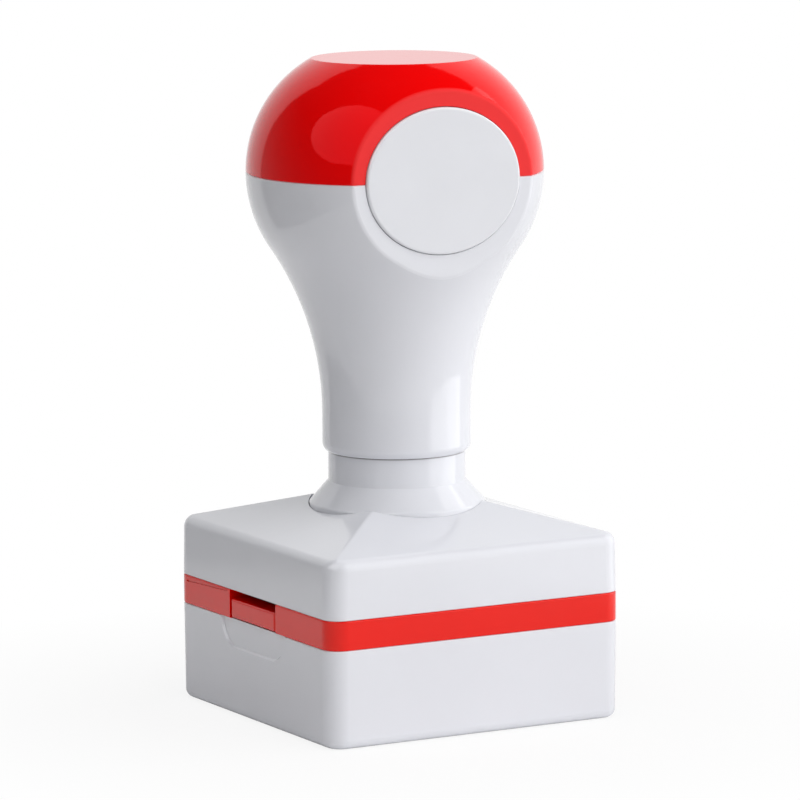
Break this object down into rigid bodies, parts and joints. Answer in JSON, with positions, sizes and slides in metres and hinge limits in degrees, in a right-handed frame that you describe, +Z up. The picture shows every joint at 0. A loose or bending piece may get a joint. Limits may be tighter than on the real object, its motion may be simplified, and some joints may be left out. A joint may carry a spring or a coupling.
{
  "type": "hand stamp",
  "caption": "Square pre-inked hand stamp: bulb handle with a bare oval badge on a sprung plunger, hip-roofed housing, red frame band with a catch, and a dust cap.",
  "frame": {"origin": "centre of the dust cap's underside, on the surface it stands on", "axes": "+Z up along the stem, -Y towards the badge, -X towards the catch and the cap's thumb recess"},
  "size_m": [0.045, 0.045, 0.0895],
  "materials": {
    "white_shell": "smooth moulded, soft gloss",
    "white_handle": "polished moulded gloss",
    "red_dome": "polished moulded gloss",
    "red_shell": "satin moulded",
    "badge_white": "smooth, bare",
    "grey_inner": "moulded",
    "natural_bearing": "moulded",
    "dark_carrier": "moulded",
    "steel": "plated",
    "spring_steel": "drawn wire",
    "black_rubber": "matt",
    "inked_felt": "felt soaked with red ink",
    "foam": "fine open-cell foam"
  },
  "bodies": {
    "cap": {"dust_cap": "white_shell"},
    "stamp": {"red_frame": "red_shell", "upper_housing": "white_shell", "guide_collar": "white_handle", "collar_nut": "grey_inner", "stem_bush": "natural_bearing", "spring_washer": "steel"},
    "catch": {"cap_catch": "red_shell"},
    "plunger": {"handle_dome": "red_dome", "handle_bulb": "white_handle", "handle_badge": "badge_white", "plunger_stem": "grey_inner", "handle_screw": "steel", "handle_washer": "steel", "return_spring": "spring_steel", "stop_ring": "black_rubber", "die_carrier": "dark_carrier", "carrier_screws": "steel", "ink_pad": "inked_felt", "stamp_foam": "foam", "foam_retainer": "dark_carrier"}
  },
  "joints": [
    {"name": "stamp_lift", "type": "slide", "parent": "cap", "child": "stamp", "axis": [0, 0, 1], "range_m": [0, 0.03]},
    {"name": "handle_press", "type": "slide", "parent": "stamp", "child": "plunger", "axis": [0, 0, -1], "range_m": [0, 0.0036], "stiffness_N_per_m": 1500, "springref_m": -0.004, "deforming": ["return_spring"]},
    {"name": "catch_flex", "type": "hinge", "parent": "stamp", "child": "catch", "pos_m": [-0.01995, 0, 0.0056], "axis": [0, 1, 0], "range_deg": [0, 4.5], "stiffness_Nm_per_rad": 0.3}
  ]
}
